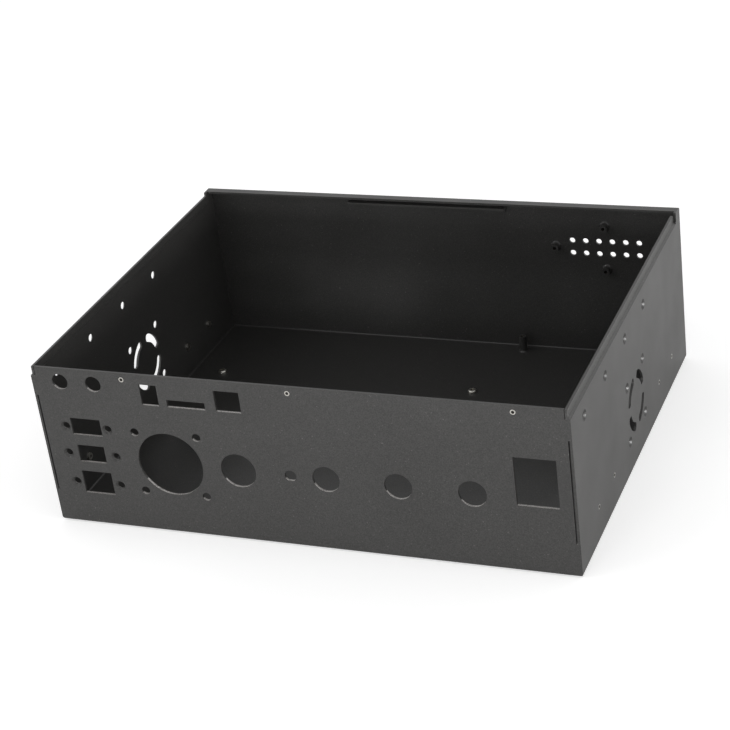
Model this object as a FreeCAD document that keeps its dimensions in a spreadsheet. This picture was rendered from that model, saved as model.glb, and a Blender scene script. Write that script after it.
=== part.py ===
# Open-topped sheet steel chassis: one folded and welded tray with its cut-outs, and the
# clinched, welded and screwed hardware that it carries. Millimetres, +Z up, the middle of
# the underside at the origin, the panel with the connector cut-outs facing -Y.

import FreeCAD, Part
import Sketcher
import math
import os
import re

os.makedirs("parts", exist_ok=True)
doc = FreeCAD.newDocument("Chassis")
sheet = doc.addObject("Spreadsheet::Sheet", "Sizes")

# Every driving size, one cell each. Sizes that end in _x run from the left outer face, _y
# from the front outer face, _z up from the underside; _drop runs down from the top edge.
SIZES = {
    # Folded sheet
    "width": 450.0, "depth": 350.0, "height": 148.5, "gauge": 2.0, "bend_inside": 1.5,
    # Side walls: the set-in lip that the cover closes over, and the rear relief slit
    "lip_drop": 1.5, "joggle_drop": 10.0, "rear_tab": 13.5, "relief_slit": 1.5,
    "relief_drop": 8.5, "lip_corner": 2.0, "lip_clearance": 0.5, "joggle_lead": 0.8,
    # Front panel seams: open between the two corner welds
    "seam_gap": 1.2, "seam_start_z": 30.5, "seam_end_z": 120.5,
    # Rear flange
    "flange_depth": 10.4,
    # Front panel, upper row
    "lamp_hole": 14.0, "lamp_first_x": 26.0, "lamp_pitch": 30.1, "lamp_drop": 13.8,
    "jack_width": 15.2, "jack_height": 18.6, "jack_x": 105.2, "jack_drop": 19.6,
    "slot_width": 33.3, "slot_height": 6.5, "slot_x": 136.7, "slot_drop": 25.6,
    "port_width": 21.8, "port_height": 18.5, "port_x": 173.5, "port_drop": 19.6,
    # Front panel, left-hand inlet column
    "rocker_width": 27.2, "rocker_height": 15.5, "rocker_x": 41.5, "rocker_z": 93.7,
    "rocker_screws": 38.0,
    "socket_width": 24.5, "socket_height": 15.8, "socket_x": 41.7, "socket_z": 68.3,
    "socket_screws": 43.8,
    "inlet_width": 27.3, "inlet_height": 21.1, "inlet_x": 42.0, "inlet_z": 40.9,
    "inlet_screws": 40.7,
    "inlet_screw_hole": 5.6, "inlet_screw_sink": 9.0, "screw_line_drop": 0.8,
    # Front panel, large round opening with its four screws
    "round_hole": 57.3, "round_x": 113.0, "round_z": 65.8, "round_screws": 55.0,
    "round_screw_hole": 7.3,
    # Front panel, connector row
    "coupler_hole": 30.4, "coupler_x": 173.1, "keyed_hole": 9.9, "keyed_height": 9.3,
    "keyed_x": 218.1, "row_z": 66.2, "plug_hole": 22.9, "plug_first_x": 248.2,
    "plug_pitch": 60.0, "plug_count": 3,
    "panel_cut_width": 33.5, "panel_cut_height": 42.4, "panel_cut_inset": 30.4,
    "panel_cut_z": 81.3,
    # Side walls: cover screws, fan grille (set _back from the wall's middle) and clinched nuts
    "cover_first_y": 34.0, "cover_pitch": 60.0, "cover_count": 4, "cover_drop": 25.5,
    "fan_back": 2.0, "fan_z": 54.3, "fan_screws": 50.0, "fan_outer": 25.5, "fan_inner": 18.0,
    "fan_gap_angle": 24.0, "fan_corner": 3.0,
    "wall_screw_hole": 6.3, "wall_screw_sink": 9.7, "sink_angle": 90.0,
    "side_nut_z": 29.5, "side_nut_front": 54.5, "side_nut_back": 52.0, "side_nut_pair": 46.5,
    # Front panel: nuts along the top edge
    "top_nut_drop": 7.3, "top_nut_left_x": 82.9, "top_nut_middle_x": 226.2,
    "top_nut_inset": 43.5,
    # Back wall: vents and the four standoffs round them
    "vent_hole": 5.2, "vent_pitch": 12.1, "vent_columns": 6, "vent_rows": 2,
    "vent_inset": 67.1, "vent_z": 106.0,
    "board_across": 91.2, "board_up": 41.8,
    # Hardware
    "nut_bore": 2.6, "nut_shank": 4.3, "nut_head": 6.3, "nut_height": 1.5,
    "post_outside": 7.0, "post_bore": 3.3, "post_length": 6.0,
    "pillar_length": 15.0, "pillar_x": 301.2, "pillar_inset": 11.8,
    "screw_head": 8.0, "screw_rise": 2.6, "screw_edge": 1.0, "screw_shank": 4.0,
    "screw_left_x": 31.2, "screw_right_x": 277.9, "screw_y": 257.0,
    "recess_span": 4.4, "recess_slot": 1.1, "recess_depth": 1.4,
    # Cover catch
    "catch_length": 149.5, "catch_x": 218.5, "catch_gap": 3.0, "catch_leg": 6.0,
    "catch_bend": 0.8, "catch_gauge": 2.0,
}
for row, (alias, number) in enumerate(SIZES.items(), start=1):
    sheet.set(f"A{row}", alias)
    sheet.set(f"B{row}", str(number))
    sheet.setAlias(f"B{row}", alias)
doc.recompute()


def named(text):
    """Turn words such as 'width / 2' into an expression on the sheet's cells."""
    return re.sub("[a-z_]+", lambda word: f"Sizes.{word[0]}" if word[0] in SIZES else word[0], text)


def bind(thing, path, text):
    """Tie one property of an object to the sheet."""
    thing.setExpression(path, named(text))


def plane(body, role):
    """The body's own origin plane or axis with this role."""
    return next(item for item in body.Origin.OriginFeatures if item.Role == role)


def sketch(body, label, role, across="", up="", out=""):
    """A sketch parallel to an origin plane, its own origin moved by three named offsets."""
    made = body.newObject("Sketcher::SketchObject", label)
    made.AttachmentSupport = [(plane(body, role), "")]
    made.MapMode = "FlatFace"
    for path, text in (("x", across), ("y", up), ("z", out)):
        if text:
            bind(made, f"AttachmentOffset.Base.{path}", text)
    return made


def measure(drawn, kind, *parts, start=1.0):
    """Add one dimension to a sketch; the last part is its size in words."""
    index = drawn.addConstraint(Sketcher.Constraint(kind, *parts[:-1], start))
    drawn.setExpression(f"Constraints[{index}]", named(parts[-1]))


ORIGIN = (-1, 1)
START, END, CENTRE = range(1, 4)


def circle(drawn, diameter, across="", up=""):
    """A full circle, at the sketch's origin or offset from it along its two axes."""
    number = drawn.addGeometry(Part.Circle(FreeCAD.Vector(3.0, 3.0, 0.0), FreeCAD.Vector(0, 0, 1), 1.0))
    measure(drawn, "Diameter", number, diameter)
    if across:
        measure(drawn, "DistanceX", *ORIGIN, number, CENTRE, across)
    else:
        drawn.addConstraint(Sketcher.Constraint("PointOnObject", number, CENTRE, -2))
    if up:
        measure(drawn, "DistanceY", *ORIGIN, number, CENTRE, up)
    else:
        drawn.addConstraint(Sketcher.Constraint("PointOnObject", number, CENTRE, -1))


def outline(drawn, corners):
    """A closed outline of straight lines; each corner is its two distances in words."""
    count = len(corners)
    start = len(drawn.Geometry)
    spots = [FreeCAD.Vector(turn, turn * turn, 0) for turn in range(count)]
    for turn in range(count):
        drawn.addGeometry(Part.LineSegment(spots[turn], spots[(turn + 1) % count]))
    for turn in range(count):
        after = start + (turn + 1) % count
        drawn.addConstraint(Sketcher.Constraint("Coincident", start + turn, END, after, START))
    for turn, (across, up) in enumerate(corners):
        for kind, words, axis in (("DistanceX", across, -2), ("DistanceY", up, -1)):
            if words == "0":
                drawn.addConstraint(Sketcher.Constraint("PointOnObject", start + turn, START, axis))
            else:
                measure(drawn, kind, *ORIGIN, start + turn, START, words)


def rectangle(drawn, wide, high, across="0", up="0"):
    """A rectangle about a point of the sketch."""
    left = f"{across} - ( {wide} ) / 2"
    right = f"{across} + ( {wide} ) / 2"
    low = f"{up} - ( {high} ) / 2"
    high = f"{up} + ( {high} ) / 2"
    outline(drawn, [(left, low), (right, low), (right, high), (left, high)])


def pad(body, label, drawn, length, both_ways=False):
    """Add material over a sketch, along its normal or to both sides of it."""
    made = body.newObject("PartDesign::Pad", label)
    made.Profile = drawn
    if both_ways:
        made.SideType = "Symmetric"
    bind(made, "Length", length)
    doc.recompute()
    return made


def cut(body, label, drawn, depth):
    """Cut a sketch down against its normal, through to the named depth."""
    made = body.newObject("PartDesign::Pocket", label)
    made.Profile = drawn
    bind(made, "Length", depth)
    doc.recompute()
    return made


def cut_both_walls(body, label, drawn):
    """Cut a sketch drawn on the middle plane out through both side walls."""
    made = body.newObject("PartDesign::Pocket", label)
    made.Profile = drawn
    made.SideType = "Symmetric"
    bind(made, "Length", "width + gauge")
    doc.recompute()
    return made


def sink(body, label, drawn, through, outside):
    """Countersunk holes through one sheet, one for each circle of the sketch."""
    made = body.newObject("PartDesign::Hole", label)
    made.Profile = drawn
    doc.recompute()
    made.Threaded = False
    made.DepthType = "Dimension"
    made.DrillPoint = "Flat"
    bind(made, "Depth", "gauge")
    bind(made, "Diameter", through)
    made.HoleCutType = "Countersink"
    made.HoleCutCustomValues = True
    bind(made, "HoleCutDiameter", outside)
    bind(made, "HoleCutCountersinkAngle", "sink_angle")
    doc.recompute()
    return made


def turned(body, label, drawn):
    """Turn a profile once round the sketch's upright axis."""
    made = body.newObject("PartDesign::Revolution", label)
    made.Profile = drawn
    made.ReferenceAxis = (drawn, ["V_Axis"])
    made.Angle = 360.0
    doc.recompute()
    return made


def rounded(body, label, base, chosen, radius):
    """Fillet the edges that a test on their two end points picks out."""
    names = []
    for index, edge in enumerate(base.Shape.Edges, start=1):
        ends = [vertex.Point for vertex in edge.Vertexes]
        if len(ends) == 2 and chosen(*ends):
            names.append(f"Edge{index}")
    made = body.newObject("PartDesign::Fillet", label)
    made.Base = (base, names)
    bind(made, "Radius", radius)
    doc.recompute()
    return made


def size(text):
    """The present value of one cell."""
    return float(sheet.get(text))


def near(first, second):
    """Whether two lengths are the same, to a hundredth of a millimetre."""
    return abs(first - second) < TOLERANCE


TOLERANCE = 0.01
half_wide = size("width") / 2
half_deep = size("depth") / 2
top = size("height")
gauge = size("gauge")

# ---------------------------------------------------------------- the folded sheet
# Floor, front panel, back wall and side walls: a tray with rounded folds at the floor.
shell = doc.addObject("PartDesign::Body", "chassis_shell")
drawn = sketch(shell, "TrayOutline", "XY_Plane")
rectangle(drawn, "width", "depth")
tray = pad(shell, "Tray", drawn, "height")
tray = rounded(shell, "OuterFolds", tray, lambda a, b: near(a.z, 0) and near(b.z, 0), "bend_inside + gauge")
drawn = sketch(shell, "TrayInside", "XY_Plane", out="height")
rectangle(drawn, "width - 2 * gauge", "depth - 2 * gauge")
tray = cut(shell, "Inside", drawn, "height - gauge")


def on_floor(a, b):
    """Edges of the floor's upper face, inside the walls."""
    inside = abs(a.x) < half_wide - gauge / 2 and abs(a.y) < half_deep - gauge / 2
    return near(a.z, gauge) and near(b.z, gauge) and inside


tray = rounded(shell, "InnerFolds", tray, on_floor, "bend_inside")

# Rear flange, folded forward from the top of the back wall over the full width.
drawn = sketch(shell, "FlangeEnd", "YZ_Plane")
outline(drawn, [("depth / 2 - flange_depth", "height - gauge"), ("depth / 2", "height - gauge"),
                ("depth / 2", "height"), ("depth / 2 - flange_depth", "height")])
tray = pad(shell, "Flange", drawn, "width", both_ways=True)


def flange_outside(a, b):
    """The long edge along the top of the back wall."""
    return near(a.z, top) and near(b.z, top) and near(a.y, half_deep) and near(b.y, half_deep)


def flange_inside(a, b):
    """The long edge in the corner under the flange."""
    level = near(a.z, top - gauge) and near(b.z, top - gauge)
    return level and near(a.y, half_deep - gauge) and near(b.y, half_deep - gauge)


tray = rounded(shell, "FlangeFold", tray, flange_outside, "bend_inside + gauge")
tray = rounded(shell, "FlangeFoldInside", tray, flange_inside, "bend_inside")

# The upper edge of each side wall is set in by one sheet, so that the cover's sides end
# flush with the chassis. The outside of the step is cut away first.
LIP = "depth - rear_tab - relief_slit"
for side, sign in (("Right", ""), ("Left", "-")):
    drawn = sketch(shell, f"StepOutside{side}", "XZ_Plane", out="depth / 2")
    outline(drawn, [(f"{sign}( width / 2 )", "height - joggle_drop"),
                    (f"{sign}( width / 2 )", "height"),
                    (f"{sign}( width / 2 - gauge )", "height"),
                    (f"{sign}( width / 2 - gauge )", "height - joggle_drop + gauge")])
    tray = cut(shell, f"Step{side}", drawn, LIP)

# Front panel corners, notched clear of the lips.
for side, sign in (("Right", ""), ("Left", "-")):
    drawn = sketch(shell, f"NotchOutline{side}", "XZ_Plane", out="depth / 2")
    outline(drawn, [(f"{sign}( width / 2 )", "height - joggle_drop + gauge"),
                    (f"{sign}( width / 2 )", "height"),
                    (f"{sign}( width / 2 - 2 * gauge - lip_clearance )", "height"),
                    (f"{sign}( width / 2 - 2 * gauge - lip_clearance )", "height - joggle_drop"),
                    (f"{sign}( width / 2 - gauge )", "height - joggle_drop"),
                    (f"{sign}( width / 2 - gauge )", "height - joggle_drop + gauge")])
    tray = cut(shell, f"PanelNotch{side}", drawn, "gauge")

# The front panel ends level with the lips, below the rear flange.
drawn = sketch(shell, "PanelTopOutline", "XZ_Plane", out="depth / 2")
outline(drawn, [("-width / 2", "height - lip_drop"), ("width / 2", "height - lip_drop"),
                ("width / 2", "height"), ("-width / 2", "height")])
tray = cut(shell, "PanelTop", drawn, "gauge")

# The set-in lips themselves, from the front face back to the relief slits.
for side, sign in (("Right", ""), ("Left", "-")):
    drawn = sketch(shell, f"LipEnd{side}", "XZ_Plane", out="depth / 2")
    outline(drawn, [(f"{sign}( width / 2 - gauge )", "height - joggle_drop - joggle_lead"),
                    (f"{sign}( width / 2 - gauge )", "height - lip_drop"),
                    (f"{sign}( width / 2 - 2 * gauge )", "height - lip_drop"),
                    (f"{sign}( width / 2 - 2 * gauge )", "height - joggle_drop - joggle_lead + gauge")])
    lip = shell.newObject("PartDesign::Pad", f"Lip{side}")
    lip.Profile = drawn
    lip.Reversed = True
    bind(lip, "Length", LIP)
    doc.recompute()
    tray = lip

# Relief slits between each lip and the rear corner tab.
drawn = sketch(shell, "ReliefOutline", "YZ_Plane")
outline(drawn, [("depth / 2 - rear_tab - relief_slit", "height - relief_drop"),
                ("depth / 2 - rear_tab", "height - relief_drop"),
                ("depth / 2 - rear_tab", "height"),
                ("depth / 2 - rear_tab - relief_slit", "height")])
tray = cut_both_walls(shell, "ReliefSlits", drawn)


def lip_corner(a, b):
    """The rear top corner of either lip."""
    behind = near(a.y, half_deep - size("rear_tab") - size("relief_slit")) and near(a.y, b.y)
    return behind and near(a.z, top - size("lip_drop")) and near(a.z, b.z)


tray = rounded(shell, "LipCorners", tray, lip_corner, "lip_corner")

# Open seams between the front panel and the side walls, between the corner welds.
for side, sign in (("Right", ""), ("Left", "-")):
    drawn = sketch(shell, f"SeamOutline{side}", "XZ_Plane", out="depth / 2")
    outline(drawn, [(f"{sign}( width / 2 - gauge )", "seam_start_z"),
                    (f"{sign}( width / 2 - gauge )", "seam_end_z"),
                    (f"{sign}( width / 2 - gauge - seam_gap )", "seam_end_z"),
                    (f"{sign}( width / 2 - gauge - seam_gap )", "seam_start_z")])
    tray = cut(shell, f"Seam{side}", drawn, "gauge")


# ---------------------------------------------------------------- front panel cut-outs
def front_sketch(label):
    """A sketch on the front face, measured from its left edge and from the underside."""
    return sketch(shell, label, "XZ_Plane", across="-width / 2", out="depth / 2")


drawn = front_sketch("SquareCutsOutline")
rectangle(drawn, "jack_width", "jack_height", "jack_x", "height - jack_drop")
rectangle(drawn, "slot_width", "slot_height", "slot_x", "height - slot_drop")
rectangle(drawn, "port_width", "port_height", "port_x", "height - port_drop")
rectangle(drawn, "rocker_width", "rocker_height", "rocker_x", "rocker_z")
rectangle(drawn, "socket_width", "socket_height", "socket_x", "socket_z")
rectangle(drawn, "inlet_width", "inlet_height", "inlet_x", "inlet_z")
rectangle(drawn, "panel_cut_width", "panel_cut_height", "width - panel_cut_inset", "panel_cut_z")
cut(shell, "SquareCuts", drawn, "gauge")

# Round holes: the two lamps, the large opening with the four screw holes on a square round
# it, the connector row, and the holes that the clinched nuts along the top edge fill.
drawn = front_sketch("RoundHolesOutline")
circle(drawn, "lamp_hole", "lamp_first_x", "height - lamp_drop")
circle(drawn, "lamp_hole", "lamp_first_x + lamp_pitch", "height - lamp_drop")
circle(drawn, "round_hole", "round_x", "round_z")
for across in ("round_x - round_screws / 2", "round_x + round_screws / 2"):
    for up in ("round_z - round_screws / 2", "round_z + round_screws / 2"):
        circle(drawn, "round_screw_hole", across, up)
circle(drawn, "coupler_hole", "coupler_x", "row_z")
for turn in range(int(size("plug_count"))):
    circle(drawn, "plug_hole", f"plug_first_x + {turn} * plug_pitch", "row_z")
for across in ("top_nut_left_x", "top_nut_middle_x", "width - top_nut_inset"):
    circle(drawn, "nut_shank", across, "height - top_nut_drop")
cut(shell, "RoundHoles", drawn, "gauge")

# Keyed hole: round with a flat at the bottom that stops its connector turning.
drawn = sketch(shell, "KeyedOutline", "XZ_Plane", across="keyed_x - width / 2", up="row_z", out="depth / 2")
radius = size("keyed_hole") / 2
flat = size("keyed_height") - radius
half_flat = (radius ** 2 - flat ** 2) ** 0.5
flat_right = FreeCAD.Vector(half_flat, -flat, 0)
flat_left = FreeCAD.Vector(-half_flat, -flat, 0)
arc = drawn.addGeometry(Part.Arc(flat_right, FreeCAD.Vector(0, radius, 0), flat_left))
chord = drawn.addGeometry(Part.LineSegment(flat_left, flat_right))
drawn.addConstraint(Sketcher.Constraint("Coincident", arc, CENTRE, *ORIGIN))
drawn.addConstraint(Sketcher.Constraint("Coincident", arc, END, chord, START))
drawn.addConstraint(Sketcher.Constraint("Coincident", chord, END, arc, START))
drawn.addConstraint(Sketcher.Constraint("Horizontal", chord))
measure(drawn, "Radius", arc, "keyed_hole / 2", start=radius)
measure(drawn, "DistanceY", chord, START, *ORIGIN, "keyed_height - keyed_hole / 2", start=flat)
cut(shell, "KeyedHole", drawn, "gauge")

# Countersunk screw holes at either side of the three inlet cut-outs.
drawn = front_sketch("InletScrewsOutline")
for name in ("rocker", "socket", "inlet"):
    circle(drawn, "inlet_screw_hole", f"{name}_x - {name}_screws / 2", f"{name}_z - screw_line_drop")
    circle(drawn, "inlet_screw_hole", f"{name}_x + {name}_screws / 2", f"{name}_z - screw_line_drop")
sink(shell, "InletScrews", drawn, "inlet_screw_hole", "inlet_screw_sink")

# ---------------------------------------------------------------- side wall cut-outs
# Countersunk holes for the cover screws and for the fan, the same on both walls.
drawn = sketch(shell, "WallScrewsOutline", "YZ_Plane", out="width / 2")
for turn in range(int(size("cover_count"))):
    circle(drawn, "wall_screw_hole", f"cover_first_y + {turn} * cover_pitch - depth / 2", "height - cover_drop")
for across in ("fan_back - fan_screws / 2", "fan_back + fan_screws / 2"):
    for up in ("fan_z - fan_screws / 2", "fan_z + fan_screws / 2"):
        circle(drawn, "wall_screw_hole", across, up)
screws = sink(shell, "WallScrews", drawn, "wall_screw_hole", "wall_screw_sink")
mirrored = shell.newObject("PartDesign::Mirrored", "WallScrewsLeft")
mirrored.Originals = [screws]
mirrored.MirrorPlane = (plane(shell, "YZ_Plane"), [""])
shell.Tip = mirrored
doc.recompute()

# Fan grille: four annular slots, each short of the next by the same angle.
drawn = sketch(shell, "GrilleOutline", "YZ_Plane", across="fan_back", up="fan_z")
inner = size("fan_inner")
outer = size("fan_outer")
start_angle = math.radians(size("fan_gap_angle") / 2)
end_angle = math.radians(90.0 - size("fan_gap_angle") / 2)
ring = Part.Circle(FreeCAD.Vector(0, 0, 0), FreeCAD.Vector(0, 0, 1), outer)
core = Part.Circle(FreeCAD.Vector(0, 0, 0), FreeCAD.Vector(0, 0, 1), inner)
far = drawn.addGeometry(Part.ArcOfCircle(ring, start_angle, end_angle))
close = drawn.addGeometry(Part.ArcOfCircle(core, start_angle, end_angle))
ends = []
for angle in (start_angle, end_angle):
    ends.append(drawn.addGeometry(Part.LineSegment(core.value(angle), ring.value(angle))))
for arc in (far, close):
    drawn.addConstraint(Sketcher.Constraint("Coincident", arc, CENTRE, *ORIGIN))
for line, place in zip(ends, (START, END)):
    drawn.addConstraint(Sketcher.Constraint("Coincident", line, START, close, place))
    drawn.addConstraint(Sketcher.Constraint("Coincident", line, END, far, place))
    drawn.addConstraint(Sketcher.Constraint("PointOnObject", *ORIGIN, line))
measure(drawn, "Radius", far, "fan_outer")
measure(drawn, "Radius", close, "fan_inner")
index = drawn.addConstraint(Sketcher.Constraint("Angle", -1, START, ends[0], START, start_angle))
drawn.setExpression(f"Constraints[{index}]", named("fan_gap_angle * 0.5 deg"))
doc.recompute()
measure(drawn, "Angle", ends[0], START, ends[1], START, "( 90 - fan_gap_angle ) * 1 deg")
grille = cut_both_walls(shell, "Grille", drawn)
pattern = shell.newObject("PartDesign::PolarPattern", "GrilleSlots")
pattern.Originals = [grille]
pattern.Axis = (drawn, ["N_Axis"])
pattern.Angle = 360.0
pattern.Occurrences = 4
shell.Tip = pattern
doc.recompute()


def slot_corner(a, b):
    """The short edges through the sheet at the corners of the grille slots."""
    through = near(a.y, b.y) and near(a.z, b.z) and not near(a.x, b.x)
    reach = ((a.y - size("fan_back")) ** 2 + (a.z - size("fan_z")) ** 2) ** 0.5
    return through and (near(reach, inner) or near(reach, outer))


tray = rounded(shell, "GrilleCorners", pattern, slot_corner, "fan_corner")

# Holes for the clinched nuts low on the side walls, in two pairs.
drawn = sketch(shell, "SideNutOutline", "YZ_Plane")
SIDE_NUTS = (("far_front", "side_nut_front - depth / 2"),
             ("near_front", "side_nut_front + side_nut_pair - depth / 2"),
             ("near_rear", "depth / 2 - side_nut_back - side_nut_pair"),
             ("far_rear", "depth / 2 - side_nut_back"))
for name, across in SIDE_NUTS:
    circle(drawn, "nut_shank", across, "side_nut_z")
cut_both_walls(shell, "SideNutHoles", drawn)

# ---------------------------------------------------------------- back wall and floor
# Vents: one column of holes repeated along the back wall.
drawn = sketch(shell, "VentOutline", "XZ_Plane",
               across="width / 2 - vent_inset - ( vent_columns - 1 ) * vent_pitch / 2", out="gauge - depth / 2")
for turn in range(int(size("vent_rows"))):
    circle(drawn, "vent_hole", "", f"vent_z + ( {turn} - ( vent_rows - 1 ) / 2 ) * vent_pitch")
vents = cut(shell, "Vents", drawn, "gauge")
columns = shell.newObject("PartDesign::LinearPattern", "VentColumns")
columns.Originals = [vents]
columns.Direction = (drawn, ["H_Axis"])
bind(columns, "Length", "( vent_columns - 1 ) * vent_pitch")
bind(columns, "Occurrences", "vent_columns")
shell.Tip = columns
doc.recompute()

# Floor holes for the two screws.
drawn = sketch(shell, "FloorScrewOutline", "XY_Plane", across="-width / 2", up="screw_y - depth / 2", out="gauge")
circle(drawn, "screw_shank", "screw_left_x")
circle(drawn, "screw_shank", "screw_right_x")
cut(shell, "FloorScrewHoles", drawn, "gauge")


# ---------------------------------------------------------------- hardware
def clinch_nut(label, across, along, up, turn):
    """A self-clinching nut: its shank fills the sheet, its head stands inside."""
    body = doc.addObject("PartDesign::Body", label)
    body.Placement = FreeCAD.Placement(FreeCAD.Vector(), turn)
    drawn = sketch(body, f"{label}_profile", "XZ_Plane")
    outline(drawn, [("nut_bore / 2", "0"), ("nut_shank / 2", "0"), ("nut_shank / 2", "gauge"),
                    ("nut_head / 2", "gauge"), ("nut_head / 2", "gauge + nut_height"),
                    ("nut_bore / 2", "gauge + nut_height")])
    turned(body, f"{label}_turned", drawn)
    for axis, words in (("x", across), ("y", along), ("z", up)):
        bind(body, f"Placement.Base.{axis}", words)
    return body


def post(label, length, turn, across, along, up):
    """A round tapped standoff, standing on the sheet."""
    body = doc.addObject("PartDesign::Body", label)
    body.Placement = FreeCAD.Placement(FreeCAD.Vector(), turn)
    drawn = sketch(body, f"{label}_profile", "XY_Plane")
    circle(drawn, "post_outside")
    circle(drawn, "post_bore")
    pad(body, f"{label}_turned", drawn, length)
    for axis, words in (("x", across), ("y", along), ("z", up)):
        bind(body, f"Placement.Base.{axis}", words)
    return body


UPRIGHT = FreeCAD.Rotation()
INWARD_FROM_FRONT = FreeCAD.Rotation(FreeCAD.Vector(1, 0, 0), -90)
INWARD_FROM_BACK = FreeCAD.Rotation(FreeCAD.Vector(1, 0, 0), 90)
INWARD_FROM_RIGHT = FreeCAD.Rotation(FreeCAD.Vector(0, 1, 0), -90)
INWARD_FROM_LEFT = FreeCAD.Rotation(FreeCAD.Vector(0, 1, 0), 90)

pieces = [shell]
for name, across in (("left", "top_nut_left_x - width / 2"), ("middle", "top_nut_middle_x - width / 2"),
                     ("right", "width / 2 - top_nut_inset")):
    pieces.append(clinch_nut(f"front_nut_{name}", across, "-depth / 2", "height - top_nut_drop",
                             INWARD_FROM_FRONT))
for name, along in SIDE_NUTS:
    pieces.append(clinch_nut(f"side_nut_left_{name}", "-width / 2", along, "side_nut_z", INWARD_FROM_LEFT))
    pieces.append(clinch_nut(f"side_nut_right_{name}", "width / 2", along, "side_nut_z", INWARD_FROM_RIGHT))

# Four standoffs round the vents, for a small board or a fan.
BOARD_X = "width / 2 - vent_inset"
for name, across, up in (("left", f"{BOARD_X} - board_across / 2", "vent_z"),
                         ("right", f"{BOARD_X} + board_across / 2", "vent_z"),
                         ("upper", BOARD_X, "vent_z + board_up / 2"),
                         ("lower", BOARD_X, "vent_z - board_up / 2")):
    pieces.append(post(f"back_standoff_{name}", "post_length", INWARD_FROM_BACK,
                       across, "depth / 2 - gauge", up))
pieces.append(post("floor_standoff", "pillar_length", UPRIGHT,
                   "pillar_x - width / 2", "depth / 2 - pillar_inset", "gauge"))

# Pan head screws with a cross recess, driven into the floor.
for name in ("left", "right"):
    body = doc.addObject("PartDesign::Body", f"floor_screw_{name}")
    drawn = sketch(body, f"screw_{name}_profile", "XZ_Plane")
    outline(drawn, [("0", "0"), ("screw_shank / 2", "0"), ("screw_shank / 2", "gauge"),
                    ("screw_head / 2", "gauge"), ("screw_head / 2", "gauge + screw_rise"),
                    ("0", "gauge + screw_rise")])
    head = turned(body, f"screw_{name}_turned", drawn)
    rims = [f"Edge{index}" for index, edge in enumerate(head.Shape.Edges, start=1)
            if len(edge.Vertexes) == 1 and near(edge.BoundBox.ZMin, gauge + size("screw_rise"))]
    dome = body.newObject("PartDesign::Fillet", f"screw_{name}_dome")
    dome.Base = (head, rims)
    bind(dome, "Radius", "screw_rise - screw_edge")
    doc.recompute()
    drawn = sketch(body, f"screw_{name}_recess", "XY_Plane", out="gauge + screw_rise")
    arm = "recess_span / 2"
    web = "recess_slot / 2"
    outline(drawn, [(arm, f"-{web}"), (arm, web), (web, web), (web, arm), (f"-{web}", arm),
                    (f"-{web}", web), (f"-{arm}", web), (f"-{arm}", f"-{web}"), (f"-{web}", f"-{web}"),
                    (f"-{web}", f"-{arm}"), (web, f"-{arm}"), (web, f"-{web}")])
    cut(body, f"screw_{name}_cross", drawn, "recess_depth")
    bind(body, "Placement.Base.x", f"screw_{name}_x - width / 2")
    bind(body, "Placement.Base.y", "screw_y - depth / 2")
    pieces.append(body)

# Cover catch: a short angle welded to the back wall, its ledge just under the flange.
catch = doc.addObject("PartDesign::Body", "cover_catch")
LEVEL = "height - gauge - catch_gap"
drawn = sketch(catch, "CatchEnd", "YZ_Plane", out="catch_x - width / 2")
outline(drawn, [("depth / 2 - flange_depth", LEVEL), ("depth / 2 - gauge", LEVEL),
                ("depth / 2 - gauge", f"{LEVEL} - catch_leg"),
                ("depth / 2 - gauge - catch_gauge", f"{LEVEL} - catch_leg"),
                ("depth / 2 - gauge - catch_gauge", f"{LEVEL} - catch_gauge"),
                ("depth / 2 - flange_depth", f"{LEVEL} - catch_gauge")])
ledge = pad(catch, "Ledge", drawn, "catch_length", both_ways=True)
wall_face = half_deep - gauge
level = top - gauge - size("catch_gap")
ledge = rounded(catch, "CatchFold", ledge,
                lambda a, b: near(a.y, wall_face) and near(b.y, wall_face) and near(a.z, level)
                and near(b.z, level), "catch_bend + catch_gauge")
inside_y = wall_face - size("catch_gauge")
inside_z = level - size("catch_gauge")
ledge = rounded(catch, "CatchFoldInside", ledge,
                lambda a, b: near(a.y, inside_y) and near(b.y, inside_y) and near(a.z, inside_z)
                and near(b.z, inside_z), "catch_bend")
pieces.append(catch)

# ---------------------------------------------------------------- checks and export
doc.recompute()
for item in doc.Objects:
    if "Invalid" in item.State or "Error" in item.State:
        raise RuntimeError(f"{item.Label} failed: {item.State}")
for piece in pieces:
    shape = piece.Shape
    if shape.isNull() or not shape.isValid() or len(shape.Solids) != 1:
        raise RuntimeError(f"{piece.Label} is not one valid solid")
for piece in pieces:
    piece.Shape.exportStep(f"parts/{piece.Label}.step")
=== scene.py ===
import math

import bpy
import numpy as np
from mathutils import Matrix, Vector


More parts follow.
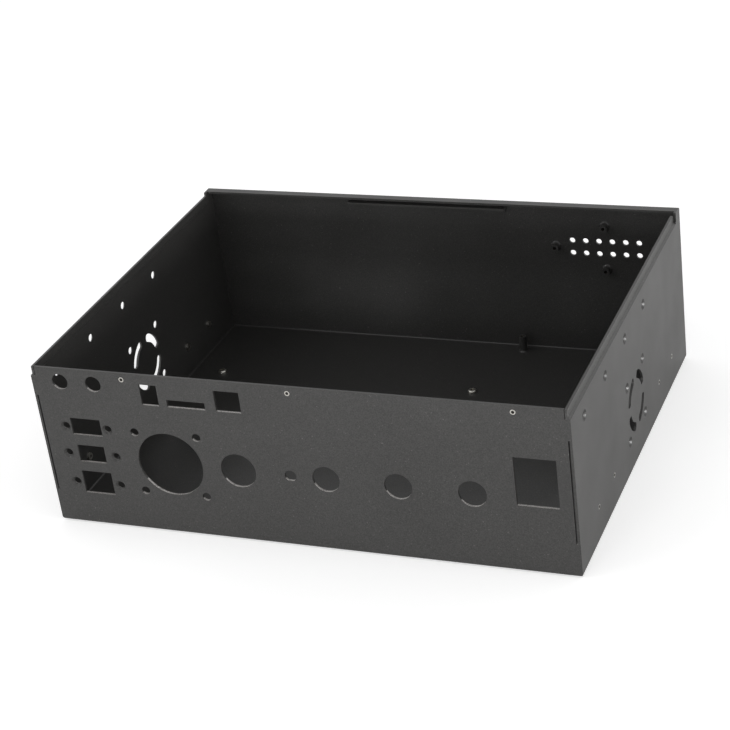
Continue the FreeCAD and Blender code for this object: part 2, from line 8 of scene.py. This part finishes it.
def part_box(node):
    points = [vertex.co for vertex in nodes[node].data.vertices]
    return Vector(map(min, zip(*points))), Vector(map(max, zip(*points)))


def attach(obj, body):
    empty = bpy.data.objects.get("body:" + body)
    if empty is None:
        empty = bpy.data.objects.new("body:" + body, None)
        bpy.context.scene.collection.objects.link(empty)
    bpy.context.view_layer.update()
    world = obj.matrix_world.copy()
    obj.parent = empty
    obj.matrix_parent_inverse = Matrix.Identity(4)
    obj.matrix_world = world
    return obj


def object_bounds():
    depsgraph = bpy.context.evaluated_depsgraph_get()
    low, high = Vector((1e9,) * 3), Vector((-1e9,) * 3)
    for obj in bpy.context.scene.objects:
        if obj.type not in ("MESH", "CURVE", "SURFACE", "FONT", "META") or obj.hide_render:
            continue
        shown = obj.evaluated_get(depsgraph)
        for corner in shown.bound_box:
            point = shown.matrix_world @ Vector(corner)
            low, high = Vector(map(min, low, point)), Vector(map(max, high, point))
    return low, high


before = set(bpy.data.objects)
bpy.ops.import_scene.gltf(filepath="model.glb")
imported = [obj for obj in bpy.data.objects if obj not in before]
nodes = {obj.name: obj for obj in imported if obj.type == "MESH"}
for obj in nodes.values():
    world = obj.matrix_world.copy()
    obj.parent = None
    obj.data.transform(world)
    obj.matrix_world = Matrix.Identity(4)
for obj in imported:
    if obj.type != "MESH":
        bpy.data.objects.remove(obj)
cad_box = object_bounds()

# ---------------------------------------------------------------- camera
# A long lens from the front right and above, rolled a little, as a product shot taken by hand.
azimuth = math.radians(24.51)
elevation = math.radians(28.02)
roll = math.radians(-7.76)
aim = Vector((-0.01037, 0.0, 0.06925))
distance = 1.6825
away = Vector((math.sin(azimuth) * math.cos(elevation),
               -math.cos(azimuth) * math.cos(elevation), math.sin(elevation)))
level_right = (-away).cross(Vector((0, 0, 1))).normalized()
level_up = level_right.cross(-away)
right = math.cos(roll) * level_right + math.sin(roll) * level_up
up = -math.sin(roll) * level_right + math.cos(roll) * level_up
lens = bpy.data.cameras.new("camera")
lens.lens = 97.25
lens.sensor_width = 36.0
lens.clip_start = 0.05
lens.clip_end = 20.0
camera = bpy.data.objects.new("camera", lens)
turned = Matrix((right, up, away)).transposed().to_4x4()
camera.matrix_world = Matrix.Translation(aim + away * distance) @ turned
bpy.context.scene.collection.objects.link(camera)
bpy.context.scene.camera = camera
bpy.context.scene.view_settings.view_transform = "Standard"


# ---------------------------------------------------------------- studio
# A white sweep that the chassis stands on, an even white room round it, a large soft lamp
# high on the left that lays a faint shadow to the right, and two low ones that rake the
# front panel and the right wall without reaching over them into the tray.
def linear(code):
    """An sRGB hex colour as linear red, green, blue and alpha: each channel over 12.92 where
    it is dark, and otherwise ((c + 0.055) / 1.055) to the power 2.4."""
    channels = np.array([int(code[i:i + 2], 16) / 255 for i in (1, 3, 5)])
    bright = ((channels + 0.055) / 1.055) ** 2.4
    return (*np.where(channels <= 0.04045, channels / 12.92, bright).tolist(), 1.0)


def node(tree, kind, settings=None, links=None):
    """Add one node, set its properties and socket values, and link its inputs."""
    made = tree.nodes.new(kind)
    for name, value in (settings or {}).items():
        if isinstance(name, str) and hasattr(made, name):
            setattr(made, name, value)
        else:
            made.inputs[name].default_value = value
    for name, source in (links or {}).items():
        tree.links.new(source, made.inputs[name])
    return made


def empty_material(name):
    """A material with an empty node tree."""
    made = bpy.data.materials.new(name)
    made.use_nodes = True
    made.node_tree.nodes.clear()
    return made


def add_mesh(name, points, faces, material):
    """Make one object at the origin from points in metres and faces, in this material."""
    mesh = bpy.data.meshes.new(name)
    mesh.from_pydata(points.tolist(), [], faces.tolist())
    mesh.materials.append(material)
    made = bpy.data.objects.new(name, mesh)
    bpy.context.scene.collection.objects.link(made)
    return made


def joined(parts):
    """Points and faces of several surfaces as one: each part's faces count on from the points
    before it."""
    counts = np.cumsum([0] + [len(points) for points, _ in parts])
    faces = [faces + first for (_, faces), first in zip(parts, counts)]
    return np.concatenate([points for points, _ in parts]), np.concatenate(faces)


sweep = empty_material("matt white sweep")
tree = sweep.node_tree
paper = node(tree, "ShaderNodeBsdfDiffuse", {"Color": linear("#f4f4f4")})
glow = node(tree, "ShaderNodeEmission", {"Color": linear("#ffffff"), "Strength": 0.42})
path = node(tree, "ShaderNodeLightPath")
both = node(tree, "ShaderNodeAddShader", links={0: paper.outputs[0], 1: glow.outputs[0]})
shown = node(tree, "ShaderNodeMixShader",
             links={0: path.outputs["Is Camera Ray"], 1: paper.outputs[0], 2: both.outputs[0]})
node(tree, "ShaderNodeOutputMaterial", links={"Surface": shown.outputs[0]})

# The floor lies a hair below the underside, so that the two faces don't fight.
half = 4.0
level = -0.0004
floor_points = np.array([(-half, -half, level), (half, -half, level),
                         (half, half, level), (-half, half, level)])
floor = add_mesh("floor", floor_points, np.arange(4).reshape(1, 4), sweep)

room = bpy.data.worlds.new("white room")
room.use_nodes = True
tree = room.node_tree
tree.nodes.clear()
path = node(tree, "ShaderNodeLightPath")
# The walls of the room are brighter than its ceiling, so the open tray stays dark inside.
ray = node(tree, "ShaderNodeTexCoord")
direction = node(tree, "ShaderNodeSeparateXYZ", links={"Vector": ray.outputs["Generated"]})
falloff = node(tree, "ShaderNodeMapRange",
               {"From Min": 0.45, "From Max": 0.9, "To Min": 1.0, "To Max": 0.38},
               {"Value": direction.outputs["Z"]})
light = node(tree, "ShaderNodeBackground", {"Color": linear("#ffffff")}, {"Strength": falloff.outputs[0]})
backdrop = node(tree, "ShaderNodeBackground", {"Color": linear("#fafafa"), "Strength": 1.0})
mixed = node(tree, "ShaderNodeMixShader",
             links={0: path.outputs["Is Camera Ray"], 1: light.outputs[0], 2: backdrop.outputs[0]})
node(tree, "ShaderNodeOutputWorld", links={"Surface": mixed.outputs[0]})
bpy.context.scene.world = room


def soft_lamp(name, place, size, watts):
    """A square area lamp at a place, turned to face the middle of the chassis."""
    lamp = bpy.data.lights.new(name, "AREA")
    lamp.size = size
    lamp.energy = watts
    made = bpy.data.objects.new(name, lamp)
    middle = Vector((0, 0, 0.07))
    facing_middle = (middle - Vector(place)).to_track_quat("-Z", "Y").to_matrix().to_4x4()
    made.matrix_world = Matrix.Translation(place) @ facing_middle
    bpy.context.scene.collection.objects.link(made)


soft_lamp("high soft box", (-1.3, -0.9, 1.5), 1.2, 4.0)
soft_lamp("low front soft box", (-0.3, -2.0, 0.05), 0.5, 26.0)
soft_lamp("low right soft box", (2.0, -0.2, 0.05), 0.5, 50.0)

# ---------------------------------------------------------------- chassis shell
# The folded 2 mm steel sheet, welded at its corners and powder coated black. The coat is
# polyester with a fine texture, baked on, so it is matt with a slight sheen at a low angle.
powder = empty_material("black fine-texture powder coat")
tree = powder.node_tree
place = node(tree, "ShaderNodeTexCoord").outputs["Object"]
# Grains of about 0.9 mm; the real ones are about 0.3 mm, too fine to show.
grain = node(tree, "ShaderNodeTexNoise", {"Scale": 1 / 0.0009, "Detail": 2.0, "Roughness": 0.6},
             {"Vector": place})
# Slow unevenness of the coat over about 60 mm.
cloud = node(tree, "ShaderNodeTexNoise", {"Scale": 1 / 0.06, "Detail": 2.0}, {"Vector": place})
tint = node(tree, "ShaderNodeValToRGB", links={"Fac": grain.outputs["Fac"]})
tint.color_ramp.elements[0].position = 0.36
tint.color_ramp.elements[0].color = linear("#282827")
tint.color_ramp.elements[1].position = 0.68
tint.color_ramp.elements[1].color = linear("#3b3a39")
# Sparse lighter nibs of about 1.5 mm, where dust has settled on the coat.
nibs = node(tree, "ShaderNodeTexNoise", {"Scale": 1 / 0.0015, "Detail": 1.0}, {"Vector": place})
speck = node(tree, "ShaderNodeMapRange", {"From Min": 0.72, "From Max": 0.78, "To Max": 0.5},
             {"Value": nibs.outputs["Fac"]})
# Sockets 6 and 7 of this node are its two colours, and output 2 is the mixed colour.
dusty = node(tree, "ShaderNodeMix", {"data_type": "RGBA", 7: linear("#6a6866")},
             {0: speck.outputs[0], 6: tint.outputs["Color"]})
sheen = node(tree, "ShaderNodeMapRange", {"From Min": 0.3, "From Max": 0.7, "To Min": 0.34, "To Max": 0.42},
             {"Value": cloud.outputs["Fac"]})
relief = node(tree, "ShaderNodeBump", {"Strength": 0.35, "Distance": 0.00006},
              {"Height": grain.outputs["Fac"]})
coat = node(tree, "ShaderNodeBsdfPrincipled", {"IOR": 1.5},
            {"Base Color": dusty.outputs[2], "Roughness": sheen.outputs[0],
             "Normal": relief.outputs[0]})
node(tree, "ShaderNodeOutputMaterial", links={"Surface": coat.outputs[0]})


def dress(name, material):
    """Give a node of the chassis this finish all over."""
    nodes[name].data.materials.clear()
    nodes[name].data.materials.append(material)


dress("chassis_shell", powder)


# ---------------------------------------------------------------- cut edges
# The lower edges of the front panel's cut-outs, painted lighter as a painted highlight where they face up
# to the light. A film over the shell's own faces, 0.03 mm proud of them.
edge_highlight = empty_material("painted highlight on upward cut edges")
tree = edge_highlight.node_tree
place = node(tree, "ShaderNodeTexCoord").outputs["Object"]
# Mottling of about 0.8 mm in the painted highlight.
highlight_mottle = node(tree, "ShaderNodeTexNoise", {"Scale": 1 / 0.0008, "Detail": 3.0}, {"Vector": place})
# The two greys of this ramp are painted highlight, lighter than the coat itself.
shade = node(tree, "ShaderNodeValToRGB", links={"Fac": highlight_mottle.outputs["Fac"]})
shade.color_ramp.elements[0].position = 0.35
shade.color_ramp.elements[0].color = linear("#5c5a58")
shade.color_ramp.elements[1].position = 0.65
shade.color_ramp.elements[1].color = linear("#b0adaa")
film = node(tree, "ShaderNodeBsdfPrincipled", {"Roughness": 0.4, "IOR": 1.5},
            {"Base Color": shade.outputs["Color"]})
node(tree, "ShaderNodeOutputMaterial", links={"Surface": film.outputs[0]})

# The triangles of the shell that lie in the front panel's thickness, face upwards and
# square to it, and are neither its top edge nor the floor's fold.
proud = 0.00003
sheet = 0.0021
lowest = 0.01
highest = 0.142
shell = nodes["chassis_shell"].data
spots = np.empty(len(shell.vertices) * 3)
shell.vertices.foreach_get("co", spots)
spots = spots.reshape(-1, 3)
shell.calc_loop_triangles()
corners = np.empty(len(shell.loop_triangles) * 3, dtype=int)
shell.loop_triangles.foreach_get("vertices", corners)
triangles = spots[corners.reshape(-1, 3)]
crossed = np.cross(triangles[:, 1] - triangles[:, 0], triangles[:, 2] - triangles[:, 0])
facing = crossed / np.maximum(np.linalg.norm(crossed, axis=1, keepdims=True), 1e-15)
in_panel = triangles[:, :, 1].max(axis=1) < cad_box[0][1] + sheet
# Upward faces are chosen because they catch the light: the film on them is painted highlight.
upwards = (np.abs(facing[:, 1]) < 0.1) & (facing[:, 2] > 0.5)
between = (triangles[:, :, 2].min(axis=1) > lowest) & (triangles[:, :, 2].max(axis=1) < highest)
chosen = in_panel & upwards & between
edges = (triangles[chosen] + facing[chosen][:, None, :] * proud).reshape(-1, 3)
highlight_edges = add_mesh("cut_edges", edges, np.arange(len(edges)).reshape(-1, 3), edge_highlight)
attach(highlight_edges, "root")

# ---------------------------------------------------------------- cover catch
# A short steel angle spot-welded to the back wall under the flange; coated with the shell.
dress("cover_catch", powder)

# ---------------------------------------------------------------- clinched nuts
# Free-cutting steel nuts pressed into the sheet, bright zinc plated, their threads cut
# before plating. The coat is kept off them, so that they shine against the black.
zinc = empty_material("bright zinc plate")
tree = zinc.node_tree
place = node(tree, "ShaderNodeTexCoord").outputs["Object"]
# Turning marks and the crystal bloom of the plating, about 0.5 mm across.
bloom = node(tree, "ShaderNodeTexNoise", {"Scale": 1 / 0.0005, "Detail": 3.0}, {"Vector": place})
shade = node(tree, "ShaderNodeValToRGB", links={"Fac": bloom.outputs["Fac"]})
shade.color_ramp.elements[0].position = 0.3
shade.color_ramp.elements[0].color = linear("#b9b6ae")
shade.color_ramp.elements[1].position = 0.7
shade.color_ramp.elements[1].color = linear("#dedcd6")
rough = node(tree, "ShaderNodeMapRange", {"To Min": 0.22, "To Max": 0.38}, {"Value": bloom.outputs["Fac"]})
relief = node(tree, "ShaderNodeBump", {"Strength": 0.2, "Distance": 0.00003},
              {"Height": bloom.outputs["Fac"]})
metal = node(tree, "ShaderNodeBsdfPrincipled", {"Metallic": 1.0},
             {"Base Color": shade.outputs["Color"], "Roughness": rough.outputs[0],
              "Normal": relief.outputs[0]})
node(tree, "ShaderNodeOutputMaterial", links={"Surface": metal.outputs[0]})

nuts = [name for name in nodes if "_nut_" in name]
for name in nuts:
    dress(name, zinc)


# ---------------------------------------------------------------- threads
# The cut threads of the clinched nuts, M3, and of the tapped standoffs, M4. Each is a screw
# surface that lines the plain bore from end to end.
def thread(bore, pitch, length, ridge):
    """Points and faces of a screw surface along +Z: at angle a and height z the radius is just
    inside the bore, less a ridge times twice the distance of z / pitch - a / turn from its
    nearest whole number, so that the ridge climbs one pitch a turn."""
    sides = 48
    steps_a_pitch = 8
    just_inside = 0.996
    around = np.arange(sides + 1) / sides
    along = np.linspace(0.0, length, int(length / pitch * steps_a_pitch) + 1)
    turn, high = np.meshgrid(around, along)
    phase = high / pitch - turn
    radius = bore * just_inside - ridge * 2 * np.abs(phase - np.round(phase))
    points = np.stack([radius * np.cos(2 * np.pi * turn), radius * np.sin(2 * np.pi * turn), high], axis=-1)
    grid = np.arange(turn.size).reshape(turn.shape)
    faces = np.stack([grid[:-1, 1:], grid[:-1, :-1], grid[1:, :-1], grid[1:, 1:]], axis=-1)
    return points.reshape(-1, 3), faces.reshape(-1, 4)


def lining(name, carriers, bore, pitch, ridge, material):
    """One piece that lines the bore of every carrier. A carrier is round, so its axis is the
    side of its box that differs from the other two."""
    parts = []
    for carrier in carriers:
        low, high = (np.array(corner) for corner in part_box(carrier))
        axis = int(np.argmax(np.abs((high - low) - np.median(high - low))))
        points, faces = thread(bore, pitch, high[axis] - low[axis], ridge)
        start = (low + high) / 2
        start[axis] = low[axis]
        parts.append((np.roll(points, axis + 1, axis=1) + start, faces))
    made = add_mesh(name, *joined(parts), material)
    made.data.shade_smooth()
    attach(made, "root")


# Inside a bore the zinc is painted dark: painted shade in the recess.
bore_shade_zinc = empty_material("zinc painted dark as shade in bores")
tree = bore_shade_zinc.node_tree
place = node(tree, "ShaderNodeTexCoord").outputs["Object"]
# Tool marks of about 0.2 mm, within the painted shade.
marks = node(tree, "ShaderNodeTexNoise", {"Scale": 1 / 0.0002, "Detail": 2.0}, {"Vector": place})
# Both greys of this ramp are darkened as painted shade.
shade = node(tree, "ShaderNodeValToRGB", links={"Fac": marks.outputs["Fac"]})
shade.color_ramp.elements[0].color = linear("#2c2a27")
shade.color_ramp.elements[1].color = linear("#5e5b55")
metal = node(tree, "ShaderNodeBsdfPrincipled", {"Metallic": 0.8, "Roughness": 0.5},
             {"Base Color": shade.outputs["Color"]})
node(tree, "ShaderNodeOutputMaterial", links={"Surface": metal.outputs[0]})

standoffs = [name for name in nodes if "standoff" in name]
lining("nut_threads", nuts, bore=0.0013, pitch=0.0005, ridge=0.00012, material=bore_shade_zinc)
lining("standoff_threads", standoffs, bore=0.00165, pitch=0.0007, ridge=0.00018, material=bore_shade_zinc)

# ---------------------------------------------------------------- standoffs
# Round tapped steel standoffs, welded to the sheet before coating, so black outside.
for name in standoffs:
    dress(name, powder)


# ---------------------------------------------------------------- weld collars
# The raised ring of weld metal round the foot of each standoff, coated over with the shell.
def collar(inner, outer, rise):
    """Points and faces of a ring about +Z: a quarter wave, from the outer radius on the sheet
    up to the inner radius at its rise, with four slow lobes round it of a twentieth."""
    sides = 64
    lift = 0.00002
    around, step = np.meshgrid(np.arange(sides + 1) / sides * 2 * np.pi, np.linspace(0, 1, 9))
    lobes = (outer - inner) * 0.05 * np.cos(4 * around) * (1 - step)
    reach = outer + (inner - outer) * step + lobes
    high = rise * (1 - np.cos(step * np.pi / 2)) + lift
    points = np.stack([reach * np.cos(around), reach * np.sin(around), high], axis=-1)
    grid = np.arange(around.size).reshape(around.shape)
    faces = np.stack([grid[:-1, :-1], grid[:-1, 1:], grid[1:, 1:], grid[1:, :-1]], axis=-1)
    return points.reshape(-1, 3), faces.reshape(-1, 4)


points, faces = collar(inner=0.00349, outer=0.0049, rise=0.0012)
parts = []
for name in standoffs:
    low, high = (np.array(corner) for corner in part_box(name))
    foot = (low + high) / 2
    if name == "floor_standoff":
        foot[2] = low[2]
        placed = points
    else:
        # On the back wall the collar's own axis turns to point forward.
        foot[1] = high[1]
        placed = points[:, [0, 2, 1]] * (1, -1, 1)
    parts.append((placed + foot, faces))
welds = add_mesh("weld_collars", *joined(parts), powder)
welds.data.shade_smooth()
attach(welds, "root")

# ---------------------------------------------------------------- floor screws
# Two pan head screws with a cross recess, zinc plated, driven after coating.
for name in nodes:
    if "screw" in name:
        dress(name, zinc)
